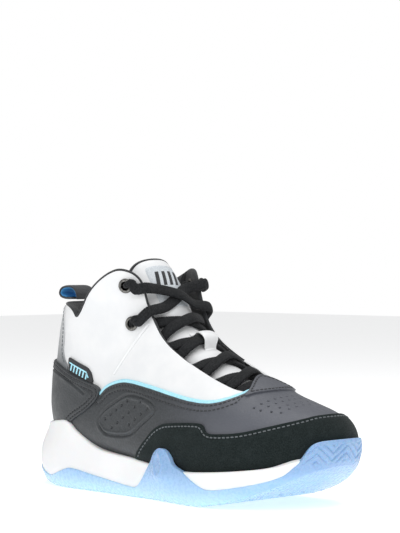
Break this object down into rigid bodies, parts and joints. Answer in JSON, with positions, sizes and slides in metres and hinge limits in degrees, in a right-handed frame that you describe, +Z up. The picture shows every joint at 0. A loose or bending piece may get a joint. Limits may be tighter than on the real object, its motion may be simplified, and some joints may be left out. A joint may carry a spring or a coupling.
{
  "type": "basketball high top shoe",
  "caption": "Laced high-top basketball shoe for the right foot, with layered upper, padded tongue and collar, pull tab and cupped sole unit.",
  "frame": {"origin": "on the ground under the sole's flat contact area, below the middle of the foot", "axes": "+X from heel to toe, -Y to the lateral (outer) side, +Z up"},
  "size_m": [0.2422, 0.0902, 0.1452],
  "materials": {
    "white_synthetic": "smooth satin coated synthetic",
    "grey_leather": "pebbled grey leather",
    "black_suede": "matte black suede",
    "black_mesh": "knitted black mesh",
    "black_binding": "folded woven binding",
    "sky_blue_piping": "light blue piping and webbing",
    "backstay_strip": "light grey synthetic",
    "side_label": null,
    "stiffener_board": "impregnated stiffener sheet",
    "pu_foam": "soft open foam",
    "white_eva": "moulded matte white foam",
    "ice_blue_rubber": "translucent pale blue rubber",
    "gunmetal": "dark nickel",
    "black_lace": "braided oval lace",
    "black_webbing": "ribbed woven webbing",
    "shank_tpu": "moulded stiff plastic",
    "strobel_fabric": "stitched non-woven board",
    "sockliner_foam": "fabric-topped moulded foam"
  },
  "bodies": {
    "upper": {"outsole": "ice_blue_rubber", "midsole": "white_eva", "shank_plate": "shank_tpu", "strobel_board": "strobel_fabric", "quarter_lateral": "white_synthetic", "quarter_medial": "white_synthetic", "vamp_backing": "white_synthetic", "foxing_and_toe_box": "grey_leather", "toe_mudguard": "black_suede", "throat_tab": "grey_leather", "heel_panel": "grey_leather", "backstay": "backstay_strip", "side_label": "side_label", "piping_lateral": "sky_blue_piping", "piping_medial": "sky_blue_piping", "collar_binding_lateral": "black_binding", "collar_binding_medial": "black_binding", "eyestay_underlay_lateral": "black_mesh", "eyestay_underlay_medial": "black_mesh", "toe_puff": "stiffener_board", "heel_counter": "stiffener_board", "collar_foam": "pu_foam", "quarter_lining": "black_mesh", "vamp_lining": "black_mesh", "eyelet_1_lateral": "gunmetal", "eyelet_1_medial": "gunmetal", "eyelet_2_lateral": "gunmetal", "eyelet_2_medial": "gunmetal", "tongue_shell_lower": "white_synthetic", "tongue_foam_lower": "pu_foam", "tongue_lining_lower": "black_mesh", "lace_keeper": "white_synthetic", "shoelace": "black_lace"},
    "tongue_top": {"tongue_shell_top": "white_synthetic", "tongue_foam_top": "pu_foam", "tongue_lining_top": "black_mesh", "tongue_patch": "white_synthetic", "tongue_binding": "black_binding"},
    "pull_tab": {"pull_tab_webbing": "black_webbing", "pull_tab_lining": "sky_blue_piping"},
    "sockliner": {"sockliner": "sockliner_foam"}
  },
  "joints": [
    {"name": "tongue_bend", "type": "hinge", "parent": "upper", "child": "tongue_top", "pos_m": [-0.01908, -0.00025, 0.10372], "axis": [0, -1, 0], "range_deg": [0, 14]},
    {"name": "pull_tab_lift", "type": "hinge", "parent": "upper", "child": "pull_tab", "pos_m": [-0.0945, 0, 0.1176], "axis": [0, 1, 0], "range_deg": [-5, 70]},
    {"name": "sockliner_lift", "type": "hinge", "parent": "upper", "child": "sockliner", "pos_m": [0.106, 0, 0.029], "axis": [0, 1, 0], "range_deg": [0, 5]}
  ]
}
